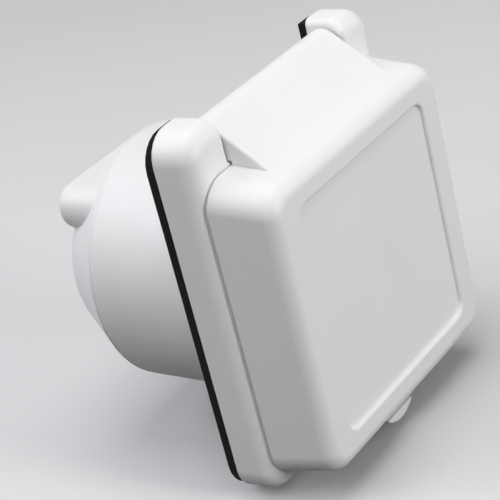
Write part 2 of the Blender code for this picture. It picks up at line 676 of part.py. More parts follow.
def ramp_hollows():
    """Three bays under the ramp, between its cheeks and two ribs, open into the lid."""
    _, blend = ramp_line(RAMP_WALL)
    reach = math.acos((BARREL_RADIUS - RAMP_WALL) / BARREL_RADIUS)
    facing = math.pi / 2 + RAMP_ANGLE
    under = arc((HINGE_Y, HINGE_Z), BARREL_RADIUS, 3 * math.pi / 2, facing + reach, 8)
    floor = blend[-1][1] - LID_WALL / 2
    outline = under + blend + [(blend[-1][0], floor), (HINGE_Y, floor)]
    inner = BARREL_HALF_LENGTH - RAMP_WALL
    ribs = [-inner, -RAMP_RIB_X - RAMP_RIB_WIDTH / 2, -RAMP_RIB_X + RAMP_RIB_WIDTH / 2,
            RAMP_RIB_X - RAMP_RIB_WIDTH / 2, RAMP_RIB_X + RAMP_RIB_WIDTH / 2, inner]
    shape = bmesh.new()
    for low, high in zip(ribs[0::2], ribs[1::2]):
        add_shape(shape, extrude_outline(outline, low, high, axes=(1, 2, 0)))
    return shape


def panel_outline(grow):
    """Outline of the panel in the lid's face, widened by a distance."""
    half_height = PANEL_HALF_HEIGHT + grow
    return rounded_rectangle(PANEL_HALF_WIDTH + grow, -half_height, half_height, PANEL_CORNER_RADIUS + grow)


def panel_cutter():
    """Shallow panel with sloping sides."""
    spread = PANEL_SLOPE * CUT_PAST / PANEL_DEPTH
    return loft([(panel_outline(-PANEL_SLOPE), LID_FRONT_Y + PANEL_DEPTH),
                 (panel_outline(spread), LID_FRONT_Y - CUT_PAST)])


def finger_tab():
    """Tongue under the lid, with a round lower edge."""
    top = -lid_half_height(TAB_Y) + LID_WALL / 2
    half_angle = math.asin(TAB_HALF_WIDTH / TAB_ROUND_RADIUS)
    centre = (0.0, TAB_BOTTOM + TAB_ROUND_RADIUS)
    lower = arc(centre, TAB_ROUND_RADIUS, -math.pi / 2 - half_angle, -math.pi / 2 + half_angle, 12)
    outline = lower + [(TAB_HALF_WIDTH, top), (-TAB_HALF_WIDTH, top)]
    shape = extrude_outline(outline, TAB_Y - TAB_THICKNESS / 2, TAB_Y + TAB_THICKNESS / 2)
    rounded = [edge for edge in shape.edges
               if abs(edge.verts[0].co.y - edge.verts[1].co.y) < 0.01 * MM
               and max(vert.co.z for vert in edge.verts) < top - 0.1 * MM]
    bmesh.ops.bevel(shape, geom=rounded, offset=TAB_EDGE_RADIUS, segments=2, profile=0.5,
                    affect="EDGES", clamp_overlap=True)
    return shape


def seal_ribs():
    """Two ring ribs that hold the rubber seal on the lid's ceiling."""
    shape = bmesh.new()
    sunk = LID_CEILING_Y - LID_WALL / 2
    tip = LID_CEILING_Y + SEAL_RIB_HEIGHT
    for inner in (SEAL_INNER_RADIUS - GAP - SEAL_RIB_WIDTH, SEAL_OUTER_RADIUS + GAP):
        outer = inner + SEAL_RIB_WIDTH
        add_shape(shape, lathe([(inner, sunk), (outer, sunk), (outer, tip), (inner, tip)]))
    return shape


def make_lid():
    """Deep lid with the ramp and barrel of its hinge, moulded as one piece."""
    lid = mesh_object("lid", lid_box(0.0, LID_REAR_Y, LID_FRONT_Y, LID_EDGE_FILLET),
                      white_plastic("lid white plastic"))
    join(lid, mesh_object("ramp_tool", ramp_shape()))
    join(lid, mesh_object("finger_tab_tool", finger_tab()))
    inner_fillet = LID_EDGE_FILLET - LID_WALL
    cavity = lid_box(LID_WALL, LID_REAR_Y + CUT_PAST, LID_CEILING_Y, inner_fillet)
    cut(lid, mesh_object("lid_cavity_tool", cavity))
    cut(lid, mesh_object("ramp_hollows_tool", ramp_hollows()))
    join(lid, mesh_object("seal_ribs_tool", seal_ribs()))
    cut(lid, mesh_object("panel_tool", panel_cutter()))
    reach = BARREL_HALF_LENGTH + CUT_PAST
    cut(lid, mesh_object("barrel_bore_tool", cylinder((-reach, HINGE_Y, HINGE_Z),
                                                      (reach, HINGE_Y, HINGE_Z), PIN_RADIUS + GAP)))
    hang_at(lid, (0.0, HINGE_Y, HINGE_Z))
    return lid


def make_lid_seal(lid):
    """Rubber ring between the lid's ceiling and the collar."""
    front = LID_CEILING_Y + GAP
    rear = front + SEAL_THICKNESS
    lip = SEAL_LIP_CHAMFER
    profile = [(SEAL_INNER_RADIUS, front), (SEAL_OUTER_RADIUS, front),
               (SEAL_OUTER_RADIUS, rear - lip), (SEAL_OUTER_RADIUS - lip, rear),
               (SEAL_INNER_RADIUS + lip, rear), (SEAL_INNER_RADIUS, rear - lip)]
    seal = mesh_object("lid_seal", lathe(profile), black_rubber("seal black rubber"))
    follow(seal, lid)
    return seal


def make_hinge_pin():
    """Stainless pin from the blind socket to the bore in the right ear."""
    left = -BAY_HALF_WIDTH - PIN_SOCKET_DEPTH + GAP
    right = FLANGE_WIDTH / 2 - PIN_RECESS
    tip = PIN_CHAMFER
    profile = [(0.0, left), (PIN_RADIUS - tip, left), (PIN_RADIUS, left + tip),
               (PIN_RADIUS, right - tip), (PIN_RADIUS - tip, right), (0.0, right)]
    shape = lathe(profile, SCREW_STEPS)
    bmesh.ops.rotate(shape, verts=shape.verts, cent=(0, 0, 0),
                     matrix=Matrix.Rotation(-math.pi / 2, 3, "Z"))
    pin = mesh_object("hinge_pin", shape, stainless_steel("pin stainless steel"))
    pin.location = (0.0, HINGE_Y, HINGE_Z)
    return pin


def make_screw(name, radius, length, head_radius, head_height, material, countersunk=False):
    """Slotted screw with its head's underside at the origin and its shank along -Y."""
    tip = radius * 0.5
    rim = HEAD_CHAMFER
    top = head_height
    if countersunk:
        head = [(radius, -head_radius + radius), (head_radius, 0.0), (head_radius, top)]
    else:
        head = [(radius, 0.0), (head_radius, 0.0), (head_radius, top - rim), (head_radius - rim, top)]
    profile = [(0.0, -length), (radius - tip, -length), (radius, -length + tip)]
    profile += head + [(0.0, top)]
    screw = mesh_object(name, lathe(profile, SCREW_STEPS), material)
    slot = bmesh.new()
    add_box(slot, (-head_radius - CUT_PAST, top - SLOT_DEPTH, -SLOT_WIDTH / 2),
            (head_radius + CUT_PAST, top + CUT_PAST, SLOT_WIDTH / 2))
    tool = mesh_object(name + "_slot_tool", slot)
    tool.parent = screw
    cut(screw, tool)
    return screw


def place_along(item, point, direction):
    """Put a screw at a point, with its head facing a direction."""
    item.rotation_mode = "QUATERNION"
    item.rotation_quaternion = Vector(direction).to_track_quat("Y", "Z")
    item.location = point


def cap_radius(y):
    """Outer radius of the rear cap's cone."""
    return CAP_RIM_RADIUS - (y - CAP_CONE_START_Y) * math.tan(CAP_CONE_ANGLE)


def cap_outer():
    """Cap's solid outer form with the spigot that enters the skirt."""
    spigot = SKIRT_BORE - GAP
    spigot_front = CAP_RIM_Y - CAP_SPIGOT_LENGTH
    groove_front = CAP_RIM_Y - CAP_SPIGOT_LENGTH / 2 - CAP_SEAL_WIDTH / 2 - GAP
    groove_rear = groove_front + CAP_SEAL_WIDTH + 2 * GAP
    floor = spigot - CAP_SEAL_HEIGHT - GAP
    setback = CAP_END_FILLET * math.tan((math.pi / 2 - CAP_CONE_ANGLE) / 2)
    corner = (CAP_END_RADIUS - setback, CAP_END_Y - CAP_END_FILLET)
    rounding = arc(corner, CAP_END_FILLET, CAP_CONE_ANGLE, math.pi / 2, 4)
    profile = [(0.0, spigot_front), (spigot, spigot_front), (spigot, groove_front),
               (floor, groove_front), (floor, groove_rear), (spigot, groove_rear),
               (spigot, CAP_RIM_Y), (CAP_RIM_RADIUS, CAP_RIM_Y), (CAP_RIM_RADIUS, CAP_CONE_START_Y)]
    profile += rounding + [(0.0, CAP_END_Y)]
    return lathe(profile)


def cap_inner():
    """Space inside the cap."""
    spigot = SKIRT_BORE - CAP_SEAL_HEIGHT - CAP_SPIGOT_WALL - 2 * GAP
    front = CAP_RIM_Y - CAP_SPIGOT_LENGTH - CUT_PAST
    end = CAP_END_Y - CAP_WALL
    slant = CAP_WALL / math.cos(CAP_CONE_ANGLE)
    profile = [(0.0, front), (spigot, front), (spigot, CAP_CONE_START_Y),
               (cap_radius(end) - slant, end), (0.0, end)]
    return lathe(profile)


def cable_boss():
    """Oval boss beside the cone, with its rounded end."""
    sections = [(oval(BOSS_HALF_LENGTH, BOSS_RADIUS, BOSS_Z), CAP_RIM_Y)]
    for k in range(FILLET_STEPS + 1):
        angle = math.pi / 2 * k / FILLET_STEPS
        radius = BOSS_RADIUS - BOSS_END_FILLET * (1 - math.cos(angle))
        y = CAP_END_Y - BOSS_END_FILLET * (1 - math.sin(angle))
        sections.append((oval(BOSS_HALF_LENGTH, radius, BOSS_Z), y))
    return loft(sections)


def cap_screw_sleeves():
    """Sleeves for the cap's three long screws."""
    shape = bmesh.new()
    radius = CAP_SCREW_RADIUS + GAP + CAP_SLEEVE_WALL
    for angle in CAP_SCREW_DIRECTIONS:
        add_cone(shape, polar(CAP_SCREW_PLACE, angle, CARRIER_REAR_Y + GAP),
                 polar(CAP_SCREW_PLACE, angle, CAP_END_Y - CAP_WALL / 2), radius, radius)
    return shape


def cable_block():
    """Oval block inside the cap for the grommet's pocket and the clamp's screws."""
    outline = oval(CLAMP_SCREW_PLACE, GROMMET_RADIUS + GAP + CAP_SLEEVE_WALL, BOSS_Z)
    return extrude_outline(outline, GROMMET_SEAT_Y - GROMMET_LIP, CAP_END_Y - CAP_WALL / 2)


def cap_screw_holes():
    """Holes through the sleeves, with sinks for the heads."""
    shape = bmesh.new()
    hole = CAP_SCREW_RADIUS + GAP
    sink = CAP_HEAD_RADIUS + GAP
    start = CARRIER_REAR_Y - CUT_PAST
    past = CAP_END_Y + CUT_PAST
    for angle in CAP_SCREW_DIRECTIONS:
        profile = [(0.0, start), (hole, start), (hole, CAP_HEAD_SEAT_Y), (sink, CAP_HEAD_SEAT_Y),
                   (sink, past), (0.0, past)]
        add_shape(shape, moved(lathe(profile, SCREW_STEPS), polar(CAP_SCREW_PLACE, angle, 0.0)))
    return shape


def cable_way():
    """Oval way in for the cable."""
    outline = oval(CABLE_HOLE_HALF_LENGTH, CABLE_HOLE_RADIUS + GAP, BOSS_Z)
    return extrude_outline(outline, GROMMET_SEAT_Y - GROMMET_LIP - CUT_PAST, CAP_END_Y + CUT_PAST)


def grommet_pocket():
    """Oval pocket round the cable's way for the grommet."""
    outline = oval(CABLE_HOLE_HALF_LENGTH, GROMMET_RADIUS + GAP, BOSS_Z)
    return extrude_outline(outline, GROMMET_SEAT_Y, CAP_END_Y)


def clamp_recess():
    """Recess for the clamp plate in the boss's end."""
    return extrude_outline(oval(BOSS_HALF_LENGTH, CLAMP_RADIUS + GAP, BOSS_Z), CLAMP_SEAT_Y,
                           CAP_END_Y + CUT_PAST)


def clamp_screw_holes():
    """Blind holes in the boss for the clamp's screws."""
    shape = bmesh.new()
    radius = CLAMP_SCREW_RADIUS + GAP
    for side in (-1.0, 1.0):
        add_cone(shape, (side * CLAMP_SCREW_PLACE, CAP_END_Y - CLAMP_SCREW_LENGTH - CUT_PAST, BOSS_Z),
                 (side * CLAMP_SCREW_PLACE, CAP_END_Y, BOSS_Z), radius, radius)
    return shape


def make_rear_cap():
    """Cone-shaped cap that closes the skirt, with the cable boss."""
    cap = mesh_object("rear_cap", cap_outer(), white_plastic("cap white plastic"))
    join(cap, mesh_object("cable_boss_tool", cable_boss()))
    cut(cap, mesh_object("cap_inside_tool", cap_inner()))
    join(cap, mesh_object("cap_screw_sleeves_tool", cap_screw_sleeves()), "MANIFOLD")
    join(cap, mesh_object("cable_block_tool", cable_block()), "MANIFOLD")
    cut(cap, mesh_object("clamp_recess_tool", clamp_recess()), "MANIFOLD")
    cut(cap, mesh_object("grommet_pocket_tool", grommet_pocket()), "MANIFOLD")
    cut(cap, mesh_object("cable_way_tool", cable_way()), "MANIFOLD")
    cut(cap, mesh_object("cap_screw_holes_tool", cap_screw_holes()), "MANIFOLD")
    cut(cap, mesh_object("clamp_screw_holes_tool", clamp_screw_holes()), "MANIFOLD")
    return cap


def make_cap_seal():
    """Square rubber ring in the groove of the cap's spigot."""
    outer = SKIRT_BORE - GAP
    inner = outer - CAP_SEAL_HEIGHT
    front = CAP_RIM_Y - CAP_SPIGOT_LENGTH / 2 - CAP_SEAL_WIDTH / 2
    rear = front + CAP_SEAL_WIDTH
    return mesh_object("cap_seal", lathe([(inner, front), (outer, front), (outer, rear), (inner, rear)]),
                       black_rubber("cap seal black rubber"))


def make_cable_clamp():
    """Plate that presses the grommet on the cable."""
    front = CLAMP_SEAT_Y + GAP
    clamp = mesh_object("cable_clamp",
                        extrude_outline(oval(BOSS_HALF_LENGTH, CLAMP_RADIUS, BOSS_Z), front, CAP_END_Y),
                        white_plastic("clamp white plastic"))
    way = extrude_outline(oval(CABLE_HOLE_HALF_LENGTH, CABLE_HOLE_RADIUS + GAP, BOSS_Z),
                          front - CUT_PAST, CAP_END_Y + CUT_PAST)
    cut(clamp, mesh_object("clamp_cable_hole_tool", way))
    hole = CLAMP_SCREW_RADIUS + GAP
    sink = CLAMP_HEAD_RADIUS + GAP
    sink_start = CAP_END_Y - HEAD_HEIGHT / 2 - GAP
    profile = [(0.0, front - CUT_PAST), (hole, front - CUT_PAST), (hole, sink_start - sink + hole),
               (sink, sink_start), (sink, CAP_END_Y + CUT_PAST), (0.0, CAP_END_Y + CUT_PAST)]
    holes = bmesh.new()
    for side in (-1.0, 1.0):
        add_shape(holes, moved(lathe(profile, SCREW_STEPS), (side * CLAMP_SCREW_PLACE, 0.0, BOSS_Z)))
    cut(clamp, mesh_object("clamp_screw_sinks_tool", holes))
    return clamp


def make_cable_grommet():
    """Oval rubber bush round the cable's way in."""
    front = GROMMET_SEAT_Y + GAP
    rear = front + GROMMET_LENGTH
    wide = oval(CABLE_HOLE_HALF_LENGTH, GROMMET_RADIUS)
    narrow = oval(CABLE_HOLE_HALF_LENGTH, GROMMET_RADIUS - GROMMET_CHAMFER)
    shape = loft([(narrow, front), (wide, front + GROMMET_CHAMFER),
                  (wide, rear - GROMMET_CHAMFER), (narrow, rear)])
    grommet = mesh_object("cable_grommet", shape, black_rubber("grommet black rubber"))
    bore = oval(CABLE_HOLE_HALF_LENGTH, CABLE_HOLE_RADIUS)
    tool = mesh_object("grommet_bore_tool", extrude_outline(bore, front - CUT_PAST, rear + CUT_PAST))
    tool.parent = grommet
    cut(grommet, tool)
    grommet.location = (0.0, 0.0, BOSS_Z)
    return grommet


def blade_outline(half_angle, grow):
    """Outline of a curved blade about the +X direction, as X and Z."""
    extra = grow / BLADE_RADIUS
    inner = BLADE_RADIUS - BLADE_THICKNESS / 2 - grow
    outer = BLADE_RADIUS + BLADE_THICKNESS / 2 + grow
    return (arc((0, 0), outer, -half_angle - extra, half_angle + extra, 10)
            + arc((0, 0), inner, half_angle + extra, -half_angle - extra, 10))


def turned(shape, angle):
    """Turn a shape about the Y axis, from +X towards +Z."""
    bmesh.ops.rotate(shape, verts=shape.verts, cent=(0, 0, 0), matrix=Matrix.Rotation(-angle, 3, "Y"))
    return shape


def blade_slots():
    """Slots through the carrier for the three blades."""
    shape = bmesh.new()
    for angle in TERMINAL_DIRECTIONS:
        slot = extrude_outline(blade_outline(BLADE_ANGLE / 2, GAP), WELL_FLOOR_Y - CUT_PAST,
                               CARRIER_REAR_Y + CUT_PAST)
        add_shape(shape, turned(slot, angle))
    return shape


def make_contact_carrier():
    """Insulating block that holds the blades in the well's floor."""
    seat = WELL_FLOOR_REAR_Y + GAP
    bevel = CARRIER_CHAMFER
    profile = [(0.0, WELL_FLOOR_Y), (CARRIER_NOSE_RADIUS - bevel, WELL_FLOOR_Y),
               (CARRIER_NOSE_RADIUS, WELL_FLOOR_Y + bevel), (CARRIER_NOSE_RADIUS, seat),
               (CARRIER_FLANGE_RADIUS, seat), (CARRIER_FLANGE_RADIUS, seat + CARRIER_FLANGE_THICKNESS),
               (CARRIER_BODY_RADIUS, seat + CARRIER_FLANGE_THICKNESS),
               (CARRIER_BODY_RADIUS, CARRIER_REAR_Y - bevel), (CARRIER_BODY_RADIUS - bevel, CARRIER_REAR_Y),
               (0.0, CARRIER_REAR_Y)]
    carrier = mesh_object("contact_carrier", lathe(profile), dark_thermoset("carrier dark thermoset"))
    cut(carrier, mesh_object("blade_slots_tool", blade_slots()))
    holes = bmesh.new()
    for angle in CARRIER_SCREW_DIRECTIONS:
        add_cone(holes, polar(CARRIER_SCREW_PLACE, angle, seat - CUT_PAST),
                 polar(CARRIER_SCREW_PLACE, angle, seat + CARRIER_FLANGE_THICKNESS + CUT_PAST),
                 CARRIER_SCREW_RADIUS + GAP, CARRIER_SCREW_RADIUS + GAP)
    for angle in CAP_SCREW_DIRECTIONS:
        add_cone(holes, polar(CAP_SCREW_PLACE, angle, CARRIER_REAR_Y - CAP_SCREW_GRIP - GAP),
                 polar(CAP_SCREW_PLACE, angle, CARRIER_REAR_Y + CUT_PAST),
                 CAP_SCREW_RADIUS + GAP, CAP_SCREW_RADIUS + GAP)
    cut(carrier, mesh_object("carrier_holes_tool", holes))
    return carrier


def make_blade(name, angle, with_hook):
    """Curved locking blade with its notch and terminal hole."""
    half = BLADE_ANGLE / 2
    shape = loft([(blade_outline(half, -BLADE_TIP_THINNING), BLADE_TIP_Y),
                  (blade_outline(half, 0.0), BLADE_TIP_Y + BLADE_TIP_CHAMFER),
                  (blade_outline(half, 0.0), BLADE_TAIL_Y)])
    blade = mesh_object(name, shape, yellow_brass(name + " brass"))
    if with_hook:
        hook = bmesh.new()
        inner = BLADE_RADIUS - BLADE_THICKNESS / 2
        add_box(hook, (inner - GROUND_HOOK_LENGTH, BLADE_TIP_Y + BLADE_TIP_CHAMFER, -BLADE_THICKNESS / 2),
                (inner + BLADE_THICKNESS / 2, WELL_FLOOR_Y - GAP, BLADE_THICKNESS / 2))
        turned(hook, half - BLADE_THICKNESS / BLADE_RADIUS)
        tool = mesh_object(name + "_hook_tool", hook)
        tool.parent = blade
        join(blade, tool)
    notch = bmesh.new()
    inner = BLADE_RADIUS - 2 * BLADE_THICKNESS
    outer = BLADE_RADIUS + 2 * BLADE_THICKNESS
    start = -half - BLADE_NOTCH_OVERCUT
    end = -half + BLADE_NOTCH_ANGLE
    outline = arc((0, 0), outer, start, end, 4) + arc((0, 0), inner, end, start, 4)
    low = WELL_FLOOR_Y - BLADE_NOTCH_LENGTH - BLADE_NOTCH_OFFSET
    add_shape(notch, extrude_outline(outline, low, low + BLADE_NOTCH_LENGTH))
    tool = mesh_object(name + "_notch_tool", notch)
    tool.parent = blade
    cut(blade, tool)
    hole = cylinder((0, TERMINAL_Y, 0), (outer, TERMINAL_Y, 0), TERMINAL_SCREW_RADIUS + GAP)
    tool = mesh_object(name + "_hole_tool", hole)
    tool.parent = blade
    cut(blade, tool)
    blade.rotation_euler = (0.0, -angle, 0.0)
    return blade


def make_clamp_plate(name, angle):
    """Pressure plate that holds the wire on the blade's tail."""
    inner = BLADE_RADIUS + BLADE_THICKNESS / 2 + GAP
    half = CLAMP_PLATE_SIZE / 2
    shape = bmesh.new()
    outer = inner + CLAMP_PLATE_THICKNESS
    add_box(shape, (inner, TERMINAL_Y - half, -half), (outer, TERMINAL_Y + half, half))
    upright = [edge for edge in shape.edges
               if abs(edge.verts[0].co.x - edge.verts[1].co.x) > 0.5 * CLAMP_PLATE_THICKNESS]
    bmesh.ops.bevel(shape, geom=upright, offset=CLAMP_PLATE_CORNER, segments=3, profile=0.5, affect="EDGES")
    plate = mesh_object(name, shape, stainless_steel(name + " steel"))
    hole = cylinder((inner - CUT_PAST, TERMINAL_Y, 0), (outer + CUT_PAST, TERMINAL_Y, 0),
                    TERMINAL_SCREW_RADIUS + GAP)
    tool = mesh_object(name + "_hole_tool", hole)
    tool.parent = plate
    cut(plate, tool)
    plate.rotation_euler = (0.0, -angle, 0.0)
    return plate


def make_contacts():
    """Blades, pressure plates and terminal screws round the axis."""
    head_seat = BLADE_RADIUS + BLADE_THICKNESS / 2 + CLAMP_PLATE_THICKNESS + 2 * GAP
    for role, angle in zip(("ground", "line", "neutral"), TERMINAL_DIRECTIONS):
        make_blade(role + "_blade", angle, role == "ground")
        make_clamp_plate(role + "_clamp_plate", angle)
        screw = make_screw(role + "_terminal_screw", TERMINAL_SCREW_RADIUS, TERMINAL_SCREW_LENGTH,
                           TERMINAL_HEAD_RADIUS, TERMINAL_HEAD_HEIGHT, yellow_brass(role + " screw brass"))
        place_along(screw, polar(head_seat, angle, TERMINAL_Y), polar(1.0, angle, 0.0))


def make_long_screws():
    """Screws of the carrier, the cap and the clamp plate."""
    carrier_seat = WELL_FLOOR_REAR_Y + CARRIER_FLANGE_THICKNESS + 2 * GAP
    for number, angle in enumerate(CARRIER_SCREW_DIRECTIONS, 1):
        length = carrier_seat - WELL_FLOOR_Y - CARRIER_SCREW_FLOOR - GAP
        screw = make_screw(f"carrier_screw_{number}", CARRIER_SCREW_RADIUS, length, CARRIER_HEAD_RADIUS,
                           HEAD_HEIGHT, stainless_steel(f"carrier screw steel {number}"))
        screw.location = polar(CARRIER_SCREW_PLACE, angle, carrier_seat)
    cap_seat = CAP_HEAD_SEAT_Y + GAP
    for number, angle in enumerate(CAP_SCREW_DIRECTIONS, 1):
        length = cap_seat - CARRIER_REAR_Y + CAP_SCREW_GRIP
        screw = make_screw(f"cap_screw_{number}", CAP_SCREW_RADIUS, length, CAP_HEAD_RADIUS,
                           HEAD_HEIGHT, stainless_steel(f"cap screw steel {number}"))
        screw.location = polar(CAP_SCREW_PLACE, angle, cap_seat)
    for number, side in enumerate((-1.0, 1.0), 1):
        screw = make_screw(f"clamp_screw_{number}", CLAMP_SCREW_RADIUS,
                           CLAMP_SCREW_LENGTH - HEAD_HEIGHT / 2, CLAMP_HEAD_RADIUS, HEAD_HEIGHT / 2,
                           stainless_steel(f"clamp screw steel {number}"), countersunk=True)
        screw.location = (side * CLAMP_SCREW_PLACE, CAP_END_Y - HEAD_HEIGHT / 2, BOSS_Z)


clear_scene()
make_inlet_body()
make_wall_gasket()
make_lid_seal(make_lid())
make_hinge_pin()
make_rear_cap()
make_cap_seal()
make_cable_clamp()
make_cable_grommet()
make_contact_carrier()
make_contacts()
make_long_screws()
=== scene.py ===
"""Looks of the shore power inlet: finishes, fine edges, studio, light and camera."""
import json
import math

import bmesh
import bpy
from mathutils import Matrix, Vector


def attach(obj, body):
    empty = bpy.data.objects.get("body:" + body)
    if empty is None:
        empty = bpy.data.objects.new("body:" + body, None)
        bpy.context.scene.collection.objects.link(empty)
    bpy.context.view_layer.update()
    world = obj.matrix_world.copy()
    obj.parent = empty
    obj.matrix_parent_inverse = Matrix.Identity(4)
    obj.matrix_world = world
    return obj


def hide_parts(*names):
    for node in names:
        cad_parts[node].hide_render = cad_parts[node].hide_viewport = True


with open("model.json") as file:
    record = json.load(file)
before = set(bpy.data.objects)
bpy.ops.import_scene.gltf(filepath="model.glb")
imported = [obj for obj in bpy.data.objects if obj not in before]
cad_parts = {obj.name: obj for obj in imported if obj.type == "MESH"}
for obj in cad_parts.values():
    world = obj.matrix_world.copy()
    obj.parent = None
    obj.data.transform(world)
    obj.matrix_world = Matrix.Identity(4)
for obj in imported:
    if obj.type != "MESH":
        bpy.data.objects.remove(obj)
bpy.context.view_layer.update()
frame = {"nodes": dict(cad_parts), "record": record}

MM = 0.001

# Camera, from the fit to the photograph: its axes and its place in metres
CAMERA_RIGHT = (0.53374, -0.81468, -0.22675)
CAMERA_DOWN = (-0.47558, -0.06746, -0.87708)
CAMERA_FORWARD = (0.69925, 0.57597, -0.42345)
CAMERA_PLACE = (-0.381743, -0.302534, 0.232151)
CAMERA_LENS = 128.797
CAMERA_SENSOR = 36.0
CAMERA_NEAREST = 0.01

# Studio
FLOOR_LEVEL = -0.0560
FLOOR_SIZE = 6.0
FLOOR_COLOUR = (0.74, 0.74, 0.74)       # as it is seen
FLOOR_SPECKLE = 0.985                   # its darker flecks to that colour
FLOOR_BOUNCE = (0.06, 0.06, 0.06)       # as it lights the object from below
FLOOR_FADE = (0.5, 1.3)                 # distances over which it fades into the backdrop
FLOOR_ROUGHNESS = 0.85
FLOOR_SPECULAR = 0.1
BACKDROP_COLOUR = (0.72, 0.72, 0.72)    # as it is seen
AMBIENT = 0.05
NEUTRAL = (1.0, 1.0, 1.0)
COOL = (0.93, 0.95, 1.0)
LAMPS = (
    # name, place, size, power, colour
    ("top", (0.0, -0.16, 1.23), 0.8, 6.2, NEUTRAL),
    ("front", (-0.05, -1.20, 0.36), 0.3, 6.9, NEUTRAL),
    ("back_left_top", (-0.68, 0.68, 0.80), 0.8, 5.6, COOL),
    ("top_back", (-0.25, 0.87, 0.87), 0.8, 4.2, COOL),
    ("right_front", (0.83, -0.83, 0.42), 0.8, 2.6, NEUTRAL),
    ("left_top", (-0.82, -0.32, 0.88), 0.8, 2.7, NEUTRAL),
)

# Clean-up and rounding of the fine pieces
EDGE_ROUNDING = 0.22 * MM
EDGE_SEGMENTS = 2
SMOOTH_ANGLE = math.radians(28.0)
NORMAL_WEIGHT = 60
ROUND_PROFILE = 0.5
SAME_POINT = 0.004 * MM
FLAT_ANGLE = math.radians(0.4)
NEAR = 0.02 * MM                        # a point that lies on a named plane

# Recess in the lid's face, as the CAD node has it and as the fine lid has it
LID_FACE_Y = -36.8 * MM
PANEL_HALF_WIDTH = 35.1 * MM
PANEL_HALF_HEIGHT = 36.6 * MM
PANEL_CORNER_RADIUS = 5.6 * MM
PANEL_SLOPE = 0.85 * MM
PANEL_FLOOR_Y = -36.25 * MM
PANEL_FINE_HALF_HEIGHT = 35.75 * MM
PANEL_FINE_CORNER_RADIUS = 4.2 * MM
PANEL_FINE_SLOPE = 0.1 * MM
PANEL_FINE_FLOOR_Y = -35.6 * MM
PANEL_EDGE_RADIUS = 0.9 * MM
PANEL_EDGE_SEGMENTS = 5
PANEL_FOOT_RADIUS = 0.35 * MM
PANEL_FOOT_SEGMENTS = 3

# Finger tab of the lid
TAB_ROOT_Z = -47.6 * MM
TAB_FINE_SCALE = 0.96
TAB_GROOVE_LOW = (-9.7 * MM, -30.2 * MM, -50.9 * MM)    # across the front of the tab
TAB_GROOVE_HIGH = (9.7 * MM, -27.9 * MM, -50.1 * MM)

# Rear rim of the lid, over the rounded sides of the flange
LID_REAR_Y = -16.4 * MM
RIM_REACH = 0.45                        # of the way from the rim to the flange
FLANGE_HALF_WIDTH = 49.2 * MM
FLANGE_BOTTOM = -53.4 * MM
FLANGE_CORNER_RADIUS = 8.6 * MM
FLANGE_EDGE_FILLET = 6.0 * MM

# Ears at the ends of the hinge bay
BAY_HALF_WIDTH = 33.5 * MM
EAR_FRONT_Z = 59.0 * MM
EAR_EDGE_RADIUS = 2.2 * MM
EAR_EDGE_SEGMENTS = 5
REAR_FACING = 0.5                       # y of a rear face's normal, at least
SIDE_FACING = 0.99                      # x of a cheek's normal, at least
SIDE_ON = 0.01                          # x of the normal of a face across it, at most

# Rear cap on the end of the skirt
SKIRT_REAR_Y = 41.6 * MM
CAP_RIM_Y = 41.9 * MM                   # end of the cap's rim beside the skirt
CAP_RIM_NEAR = 0.05 * MM
CAP_RIM_INNER_RADIUS = 37.2 * MM
CAP_RIM_OVERLAP = 0.3 * MM              # of the cap's rim into the skirt's end
CAP_RIM_STEP = 0.3 * MM                 # of the cap's rim inside the skirt's edge

# Plastic: scales are features to a metre, spans are the parts of a texture's range in use
FULL_RANGE = (0.0, 1.0)
GLOSS_SPAN = (0.3, 0.7)
PATCH_SCALE = 26.0
PATCH_SPAN = (0.35, 0.7)
GLOSS_SCALE = 90.0
WAVE_SCALE = 38.0
WAVE_STRENGTH = 0.25
WAVE_HEIGHT = 0.12 * MM
GRAIN_SCALE = 5200.0
GRAIN_STRENGTH = 0.20
GRAIN_HEIGHT = 0.02 * MM
# Painted shade: ambient occlusion darkens the plastic's colour in corners, creases and gaps
# between parts
CORNER_SHADE_REACH = 1.6 * MM
CORNER_SHADE_SAMPLES = 8
CORNER_SHADE_SPAN = (0.25, 0.8)
CORNER_SHADE_SHARE = (0.35, 1.0)
CORNER_SHADE_DARKENING = 0.86
MOULD_RADIUS = 0.9 * MM                 # shading of the inside corners
MOULD_SAMPLES = 6
PLASTIC_GLOSS = (-0.05, 0.06)           # added to the roughness, as the next two are
RUBBER_GLOSS = (-0.06, 0.08)
METAL_GLOSS = (-0.08, 0.12)
PLASTIC_IOR = 1.5
PLASTIC_SPECULAR = 0.42

# Rubber and metal
BLOOM_SCALE = 160.0
BLOOM_SPAN = (0.4, 0.75)
PORE_SCALE = 1500.0
PORE_SPAN = (0.0, 0.45)
PORE_STRENGTH = 0.5
PORE_DEPTH = 0.12 * MM
RUBBER_GRAIN_SCALE = 2600.0
RUBBER_GRAIN_STRENGTH = 0.3
RUBBER_GRAIN_HEIGHT = 0.03 * MM
RUBBER_SPECULAR = 0.15
STAIN_SCALE = 240.0
STAIN_SPAN = (0.42, 0.72)
DRAWN_SCALE = 900.0
DRAWN_STRETCH = (1.0, 0.08, 1.0)
DRAWN_STRENGTH = 0.25
DRAWN_DEPTH = 0.02 * MM
SPECKLE_SCALE = 45.0

FINE_NODES = {"inlet_body", "lid", "rear_cap", "wall_gasket", "cable_clamp", "lid_seal",
              "contact_carrier"}


def new_material(name):
    """Node material with its tree and its Principled shader."""
    material = bpy.data.materials.new(name)
    material.use_nodes = True
    tree = material.node_tree
    return material, tree, tree.nodes["Principled BSDF"]


def link(tree, source, output, target, socket):
    tree.links.new(source.outputs[output], target.inputs[socket])


